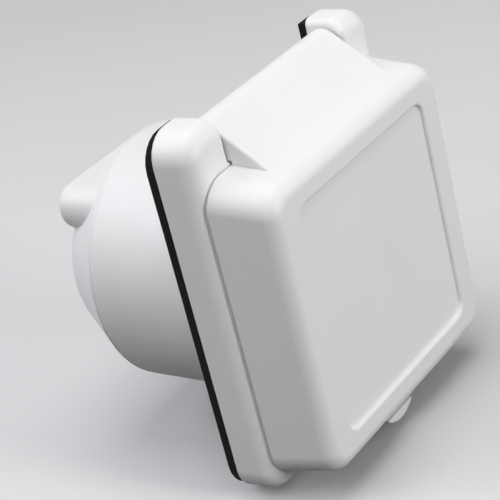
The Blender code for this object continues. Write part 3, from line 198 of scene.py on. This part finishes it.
def noise(tree, scale, detail=3.0, roughness=0.5, stretch=(1.0, 1.0, 1.0)):
    """Noise texture in object coordinates, with features 1 / scale metres wide."""
    place = tree.nodes.new("ShaderNodeTexCoord")
    mapping = tree.nodes.new("ShaderNodeMapping")
    mapping.inputs["Scale"].default_value = stretch
    texture = tree.nodes.new("ShaderNodeTexNoise")
    texture.inputs["Scale"].default_value = scale
    texture.inputs["Detail"].default_value = detail
    texture.inputs["Roughness"].default_value = roughness
    link(tree, place, "Object", mapping, "Vector")
    link(tree, mapping, "Vector", texture, "Vector")
    return texture


def remap(tree, source, output, span, values):
    """Map the span of a texture's range onto two values."""
    node = tree.nodes.new("ShaderNodeMapRange")
    node.inputs["From Min"].default_value = span[0]
    node.inputs["From Max"].default_value = span[1]
    node.inputs["To Min"].default_value = values[0]
    node.inputs["To Max"].default_value = values[1]
    link(tree, source, output, node, "Value")
    return node


def blend_colours(tree, factor, factor_output, first, second):
    """Mix two colours by a factor."""
    node = tree.nodes.new("ShaderNodeMix")
    node.data_type = "RGBA"
    node.inputs["A"].default_value = (*first, 1.0)
    node.inputs["B"].default_value = (*second, 1.0)
    link(tree, factor, factor_output, node, "Factor")
    return node


def bump(tree, height, output, strength, distance, below=None):
    """Bump node, stacked on another node's normal if given."""
    node = tree.nodes.new("ShaderNodeBump")
    node.inputs["Strength"].default_value = strength
    node.inputs["Distance"].default_value = distance
    link(tree, height, output, node, "Height")
    if below:
        link(tree, below, "Normal", node, "Normal")
    return node


def vary_roughness(tree, shader, texture, roughness, change):
    """Roughness that wanders with a texture."""
    values = (roughness + change[0], roughness + change[1])
    link(tree, remap(tree, texture, "Fac", GLOSS_SPAN, values), "Result", shader, "Roughness")


def moulded_plastic(name, clean, aged, roughness):
    """Satin moulded plastic with eroded grain, slight sink waves and painted shade in its
    corners.
    """
    material, tree, shader = new_material(name)
    patches = noise(tree, PATCH_SCALE, detail=4.0, roughness=0.6)
    share = remap(tree, patches, "Fac", PATCH_SPAN, FULL_RANGE)
    tint = blend_colours(tree, share, "Result", clean, aged)
    # Painted shade: the colour is darkened where ambient occlusion finds corners, creases and
    # gaps
    corner = tree.nodes.new("ShaderNodeAmbientOcclusion")
    corner.inputs["Distance"].default_value = CORNER_SHADE_REACH
    corner.samples = CORNER_SHADE_SAMPLES
    painted_corner_shade = tree.nodes.new("ShaderNodeMix")
    painted_corner_shade.data_type = "RGBA"
    painted_corner_shade.inputs["A"].default_value = (*[CORNER_SHADE_DARKENING * value for value in aged], 1.0)
    link(tree, remap(tree, corner, "AO", CORNER_SHADE_SPAN, CORNER_SHADE_SHARE), "Result", painted_corner_shade, "Factor")
    link(tree, tint, "Result", painted_corner_shade, "B")
    link(tree, painted_corner_shade, "Result", shader, "Base Color")
    gloss = noise(tree, GLOSS_SCALE, detail=5.0, roughness=0.65)
    vary_roughness(tree, shader, gloss, roughness, PLASTIC_GLOSS)
    rounded = tree.nodes.new("ShaderNodeBevel")
    rounded.inputs["Radius"].default_value = MOULD_RADIUS
    rounded.samples = MOULD_SAMPLES
    sunk = noise(tree, WAVE_SCALE, detail=1.0)
    waves = bump(tree, sunk, "Fac", WAVE_STRENGTH, WAVE_HEIGHT, rounded)
    grain = noise(tree, GRAIN_SCALE, detail=2.0, roughness=0.6)
    eroded = bump(tree, grain, "Fac", GRAIN_STRENGTH, GRAIN_HEIGHT, waves)
    link(tree, eroded, "Normal", shader, "Normal")
    shader.inputs["IOR"].default_value = PLASTIC_IOR
    shader.inputs["Specular IOR Level"].default_value = PLASTIC_SPECULAR
    return material


def foam_rubber(name, dark, pale, roughness):
    """Black rubber or foam with pores and a dusty bloom."""
    material, tree, shader = new_material(name)
    bloom = noise(tree, BLOOM_SCALE, detail=5.0, roughness=0.6)
    share = remap(tree, bloom, "Fac", BLOOM_SPAN, FULL_RANGE)
    link(tree, blend_colours(tree, share, "Result", dark, pale), "Result", shader, "Base Color")
    vary_roughness(tree, shader, bloom, roughness, RUBBER_GLOSS)
    place = tree.nodes.new("ShaderNodeTexCoord")
    cells = tree.nodes.new("ShaderNodeTexVoronoi")
    cells.inputs["Scale"].default_value = PORE_SCALE
    link(tree, place, "Object", cells, "Vector")
    depth = remap(tree, cells, "Distance", PORE_SPAN, FULL_RANGE)
    pores = bump(tree, depth, "Result", PORE_STRENGTH, PORE_DEPTH)
    grain = noise(tree, RUBBER_GRAIN_SCALE)
    fine = bump(tree, grain, "Fac", RUBBER_GRAIN_STRENGTH, RUBBER_GRAIN_HEIGHT, pores)
    link(tree, fine, "Normal", shader, "Normal")
    shader.inputs["Specular IOR Level"].default_value = RUBBER_SPECULAR
    return material


def worked_metal(name, clean, tarnished, roughness):
    """Drawn or turned metal with fine lines and slight tarnish."""
    material, tree, shader = new_material(name)
    stains = noise(tree, STAIN_SCALE, detail=5.0, roughness=0.6)
    share = remap(tree, stains, "Fac", STAIN_SPAN, FULL_RANGE)
    tint = blend_colours(tree, share, "Result", clean, tarnished)
    link(tree, tint, "Result", shader, "Base Color")
    lines = noise(tree, DRAWN_SCALE, detail=3.0, roughness=0.6, stretch=DRAWN_STRETCH)
    vary_roughness(tree, shader, lines, roughness, METAL_GLOSS)
    drawn = bump(tree, lines, "Fac", DRAWN_STRENGTH, DRAWN_DEPTH)
    link(tree, drawn, "Normal", shader, "Normal")
    shader.inputs["Metallic"].default_value = 1.0
    return material


def make_finishes():
    """One finish for each material slot of the record."""
    return {
        "white_plastic": moulded_plastic("white plastic", clean=(0.86, 0.86, 0.857),
                                         aged=(0.84, 0.84, 0.83), roughness=0.42),
        "dark_thermoset": moulded_plastic("dark thermoset", clean=(0.028, 0.028, 0.030),
                                          aged=(0.04, 0.038, 0.036), roughness=0.5),
        "black_rubber": foam_rubber("black foam", dark=(0.004, 0.004, 0.0045),
                                    pale=(0.010, 0.0095, 0.009), roughness=0.82),
        "stainless_steel": worked_metal("stainless steel", clean=(0.62, 0.61, 0.60),
                                        tarnished=(0.50, 0.49, 0.47), roughness=0.30),
        "yellow_brass": worked_metal("yellow brass", clean=(0.78, 0.60, 0.28),
                                     tarnished=(0.55, 0.38, 0.17), roughness=0.32),
    }


def round_edges(shape, edges, radius, segments):
    bmesh.ops.bevel(shape, geom=edges, offset=radius, segments=segments, profile=ROUND_PROFILE,
                    affect="EDGES", clamp_overlap=False)


def slim_tab(shape):
    """Outline of the finger tab drawn in a little."""
    for vert in shape.verts:
        if vert.co.z < TAB_ROOT_Z:
            vert.co.x *= TAB_FINE_SCALE
            vert.co.z = TAB_ROOT_Z + (vert.co.z - TAB_ROOT_Z) * TAB_FINE_SCALE


def on_panel(vert, y):
    """Whether a point is on the lid's recess, at a depth."""
    return (abs(vert.co.y - y) < NEAR and abs(vert.co.x) < PANEL_HALF_WIDTH + NEAR
            and abs(vert.co.z) < PANEL_HALF_HEIGHT + NEAR)


def edges_on_panel(shape, y):
    return [edge for edge in shape.edges if all(on_panel(vert, y) for vert in edge.verts)]


def deepen_panel(shape):
    """Steep sides, sharper corners and a rounded outer edge for the recess in the lid's face."""
    foot = edges_on_panel(shape, PANEL_FLOOR_Y)
    for vert in [vert for vert in shape.verts if on_panel(vert, PANEL_FLOOR_Y)]:
        outer = min((edge.other_vert(vert) for edge in vert.link_edges
                     if on_panel(edge.other_vert(vert), LID_FACE_Y)),
                    key=lambda other: (other.co - vert.co).length)
        vert.co = outer.co + (vert.co - outer.co) * (PANEL_FINE_SLOPE / PANEL_SLOPE)
        vert.co.y = PANEL_FINE_FLOOR_Y
    rim = edges_on_panel(shape, LID_FACE_Y)
    centre_x = PANEL_HALF_WIDTH - PANEL_CORNER_RADIUS
    centre_z = PANEL_HALF_HEIGHT - PANEL_CORNER_RADIUS
    sharper = PANEL_FINE_CORNER_RADIUS / PANEL_CORNER_RADIUS
    shift = PANEL_CORNER_RADIUS - PANEL_FINE_CORNER_RADIUS
    for vert in {vert for edge in foot + rim for vert in edge.verts}:
        across = abs(vert.co.x) - centre_x
        along = abs(vert.co.z) - centre_z
        if across > -NEAR and along > -NEAR:
            vert.co.x = math.copysign(centre_x + shift + across * sharper, vert.co.x)
            vert.co.z = math.copysign(centre_z + shift + along * sharper, vert.co.z)
        vert.co.z *= PANEL_FINE_HALF_HEIGHT / PANEL_HALF_HEIGHT
    round_edges(shape, foot, PANEL_FOOT_RADIUS, PANEL_FOOT_SEGMENTS)
    rim = [edge for edge in rim if edge.is_valid]
    round_edges(shape, rim, PANEL_EDGE_RADIUS, PANEL_EDGE_SEGMENTS)


def follow_flange(shape):
    """Rear rim of the lid brought towards the rounded sides of the flange."""
    for vert in shape.verts:
        if abs(vert.co.y - LID_REAR_Y) > NEAR:
            continue
        across = max(abs(vert.co.x) - (FLANGE_HALF_WIDTH - FLANGE_CORNER_RADIUS), 0.0)
        down = max(FLANGE_BOTTOM + FLANGE_CORNER_RADIUS - vert.co.z, 0.0)
        outside = FLANGE_EDGE_FILLET - (FLANGE_CORNER_RADIUS - math.hypot(across, down))
        if outside > 0:
            drop = FLANGE_EDGE_FILLET - math.sqrt(FLANGE_EDGE_FILLET ** 2 - outside ** 2)
            vert.co.y = LID_REAR_Y + RIM_REACH * drop


def refine_lid(shape):
    slim_tab(shape)
    deepen_panel(shape)
    follow_flange(shape)


def soften_ears(shape):
    """Rounded inner edges on the ears at the ends of the hinge bay."""
    edges = []
    for edge in shape.edges:
        on_cheek = all(abs(abs(vert.co.x) - BAY_HALF_WIDTH) < NEAR and vert.co.z > EAR_FRONT_Z
                       for vert in edge.verts)
        if not on_cheek or len(edge.link_faces) != 2:
            continue
        across, cheek = sorted((face.normal for face in edge.link_faces),
                               key=lambda normal: abs(normal.x))
        if max(across.y, cheek.y) < REAR_FACING:
            if abs(cheek.x) > SIDE_FACING and abs(across.x) < SIDE_ON:
                edges.append(edge)
    round_edges(shape, edges, EAR_EDGE_RADIUS, EAR_EDGE_SEGMENTS)


def close_cap_seam(shape):
    """Rim of the cap brought up to the skirt, a small step inside its edge."""
    for vert in shape.verts:
        radius = math.hypot(vert.co.x, vert.co.z)
        on_rim = abs(vert.co.y - CAP_RIM_Y) < CAP_RIM_NEAR
        if on_rim and radius > CAP_RIM_INNER_RADIUS + CAP_RIM_STEP:
            vert.co.x *= 1 - CAP_RIM_STEP / radius
            vert.co.z *= 1 - CAP_RIM_STEP / radius
            vert.co.y = SKIRT_REAR_Y - CAP_RIM_OVERLAP


RESHAPE = {"lid": refine_lid, "inlet_body": soften_ears, "rear_cap": close_cap_seam}


def groove_tab(piece):
    """Narrow groove across the front of the lid's finger tab."""
    cutter_mesh = bpy.data.meshes.new("tab groove")
    shape = bmesh.new()
    bmesh.ops.create_cube(shape, size=1.0)
    middle = (Vector(TAB_GROOVE_LOW) + Vector(TAB_GROOVE_HIGH)) / 2
    size = Vector(TAB_GROOVE_HIGH) - Vector(TAB_GROOVE_LOW)
    for vert in shape.verts:
        vert.co = middle + vert.co * size
    shape.to_mesh(cutter_mesh)
    shape.free()
    cutter = bpy.data.objects.new("tab groove", cutter_mesh)
    bpy.context.scene.collection.objects.link(cutter)
    cut = piece.modifiers.new("tab groove", "BOOLEAN")
    cut.operation = "DIFFERENCE"
    cut.solver = "EXACT"
    cut.object = cutter
    graph = bpy.context.evaluated_depsgraph_get()
    grooved = bpy.data.meshes.new_from_object(piece.evaluated_get(graph))
    piece.modifiers.remove(cut)
    piece.data = grooved
    bpy.data.objects.remove(cutter)


def add_fine_edges(piece):
    """Small bevels on the sharp edges, with flat faces shaded flat."""
    edges = piece.modifiers.new("fine edges", "BEVEL")
    edges.width = EDGE_ROUNDING
    edges.segments = EDGE_SEGMENTS
    edges.limit_method = "ANGLE"
    edges.angle_limit = SMOOTH_ANGLE
    edges.harden_normals = False
    edges.miter_outer = "MITER_ARC"
    weighted = piece.modifiers.new("flat faces stay flat", "WEIGHTED_NORMAL")
    weighted.weight = NORMAL_WEIGHT
    weighted.keep_sharp = True


def fine_piece(node, body, material):
    """Finer copy of a CAD node with rounded edges, in the node's place."""
    mesh = frame["nodes"][node].data.copy()
    shape = bmesh.new()
    shape.from_mesh(mesh)
    bmesh.ops.remove_doubles(shape, verts=shape.verts, dist=SAME_POINT)
    bmesh.ops.dissolve_limit(shape, angle_limit=FLAT_ANGLE, verts=shape.verts, edges=shape.edges)
    if node in RESHAPE:
        RESHAPE[node](shape)
    shape.to_mesh(mesh)
    shape.free()
    mesh.materials.clear()
    mesh.materials.append(material)
    piece = bpy.data.objects.new("fine_" + node, mesh)
    bpy.context.scene.collection.objects.link(piece)
    if node == "lid":
        groove_tab(piece)
    piece.data.shade_smooth()
    add_fine_edges(piece)
    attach(piece, body)
    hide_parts(node)


def paint(node, material):
    """Give a CAD node a finish."""
    item = frame["nodes"][node]
    item.data.materials.clear()
    item.data.materials.append(material)


def dress_object():
    """Finish every node; the visible mouldings become finer pieces."""
    finishes = make_finishes()
    body_of = {node: body for body, nodes in frame["record"]["behaviour"]["bodies"].items()
               for node in nodes}
    for part in frame["record"]["subparts"]:
        node = part["node"]
        slot = part["material_slot"]
        if node in FINE_NODES:
            fine_piece(node, body_of[node], finishes[slot])
        else:
            paint(node, finishes[slot])


def add_camera():
    """Camera at the photograph's viewing angle."""
    data = bpy.data.cameras.new("camera")
    data.lens = CAMERA_LENS
    data.sensor_width = CAMERA_SENSOR
    data.sensor_fit = "HORIZONTAL"
    data.clip_start = CAMERA_NEAREST
    camera = bpy.data.objects.new("camera", data)
    bpy.context.scene.collection.objects.link(camera)
    axes = Matrix((Vector(CAMERA_RIGHT), -Vector(CAMERA_DOWN), -Vector(CAMERA_FORWARD)))
    camera.matrix_world = Matrix.Translation(CAMERA_PLACE) @ axes.transposed().to_4x4()
    bpy.context.scene.camera = camera


def add_area_light(name, place, size, power, colour):
    """Soft square lamp that faces the object."""
    data = bpy.data.lights.new(name, "AREA")
    data.shape = "SQUARE"
    data.size = size
    data.energy = power
    data.color = colour
    lamp = bpy.data.objects.new(name, data)
    bpy.context.scene.collection.objects.link(lamp)
    lamp.location = place
    lamp.rotation_mode = "QUATERNION"
    lamp.rotation_quaternion = (-Vector(place)).to_track_quat("-Z", "Y")


def seen_directly(tree):
    """One for rays that show a surface: from the camera, in a reflection or through glass."""
    path = tree.nodes.new("ShaderNodeLightPath")
    first = tree.nodes.new("ShaderNodeMath")
    first.operation = "MAXIMUM"
    link(tree, path, "Is Camera Ray", first, 0)
    link(tree, path, "Is Glossy Ray", first, 1)
    either = tree.nodes.new("ShaderNodeMath")
    either.operation = "MAXIMUM"
    link(tree, first, "Value", either, 0)
    link(tree, path, "Is Transmission Ray", either, 1)
    return either


def floor_material():
    """Pale floor that fades into the backdrop, and lights the object little from below."""
    material, tree, shader = new_material("pale floor")
    speckle = noise(tree, SPECKLE_SCALE, detail=4.0)
    flecks = [FLOOR_SPECKLE * value for value in FLOOR_COLOUR]
    tint = blend_colours(tree, speckle, "Fac", FLOOR_COLOUR, flecks)
    shown = blend_colours(tree, seen_directly(tree), "Value", FLOOR_BOUNCE, FLOOR_COLOUR)
    link(tree, tint, "Result", shown, "B")
    link(tree, shown, "Result", shader, "Base Color")
    shader.inputs["Roughness"].default_value = FLOOR_ROUGHNESS
    shader.inputs["Specular IOR Level"].default_value = FLOOR_SPECULAR
    place = tree.nodes.new("ShaderNodeTexCoord")
    distance = tree.nodes.new("ShaderNodeVectorMath")
    distance.operation = "LENGTH"
    link(tree, place, "Object", distance, 0)
    fade = tree.nodes.new("ShaderNodeMath")
    fade.operation = "MULTIPLY"
    link(tree, remap(tree, distance, "Value", FLOOR_FADE, FULL_RANGE), "Result", fade, 0)
    link(tree, seen_directly(tree), "Value", fade, 1)
    backdrop = tree.nodes.new("ShaderNodeEmission")
    backdrop.inputs["Color"].default_value = (*BACKDROP_COLOUR, 1.0)
    mixed = tree.nodes.new("ShaderNodeMixShader")
    link(tree, fade, "Value", mixed, "Fac")
    link(tree, shader, "BSDF", mixed, 1)
    link(tree, backdrop, "Emission", mixed, 2)
    link(tree, mixed, "Shader", tree.nodes["Material Output"], "Surface")
    return material


def add_floor():
    """Plain floor that shows the object's shadow."""
    half = FLOOR_SIZE / 2
    mesh = bpy.data.meshes.new("floor")
    corners = [(-half, -half, 0), (half, -half, 0), (half, half, 0), (-half, half, 0)]
    mesh.from_pydata(corners, [], [(0, 1, 2, 3)])
    mesh.materials.append(floor_material())
    floor = bpy.data.objects.new("floor", mesh)
    floor.location = (0.0, 0.0, FLOOR_LEVEL)
    bpy.context.scene.collection.objects.link(floor)


def add_world():
    """Even ambient light, with a pale background for what sees past the floor."""
    world = bpy.data.worlds.new("studio")
    bpy.context.scene.world = world
    world.use_nodes = True
    tree = world.node_tree
    ambient = tree.nodes["Background"]
    ambient.inputs["Color"].default_value = (*NEUTRAL, 1.0)
    ambient.inputs["Strength"].default_value = AMBIENT
    seen = tree.nodes.new("ShaderNodeBackground")
    seen.inputs["Color"].default_value = (*BACKDROP_COLOUR, 1.0)
    seen.inputs["Strength"].default_value = 1.0
    mixed = tree.nodes.new("ShaderNodeMixShader")
    link(tree, seen_directly(tree), "Value", mixed, "Fac")
    link(tree, ambient, "Background", mixed, 1)
    link(tree, seen, "Background", mixed, 2)
    link(tree, mixed, "Shader", tree.nodes["World Output"], "Surface")


add_camera()
add_floor()
add_world()
for lamp in LAMPS:
    add_area_light(*lamp)
dress_object()

bpy.context.scene.view_settings.view_transform = "Standard"
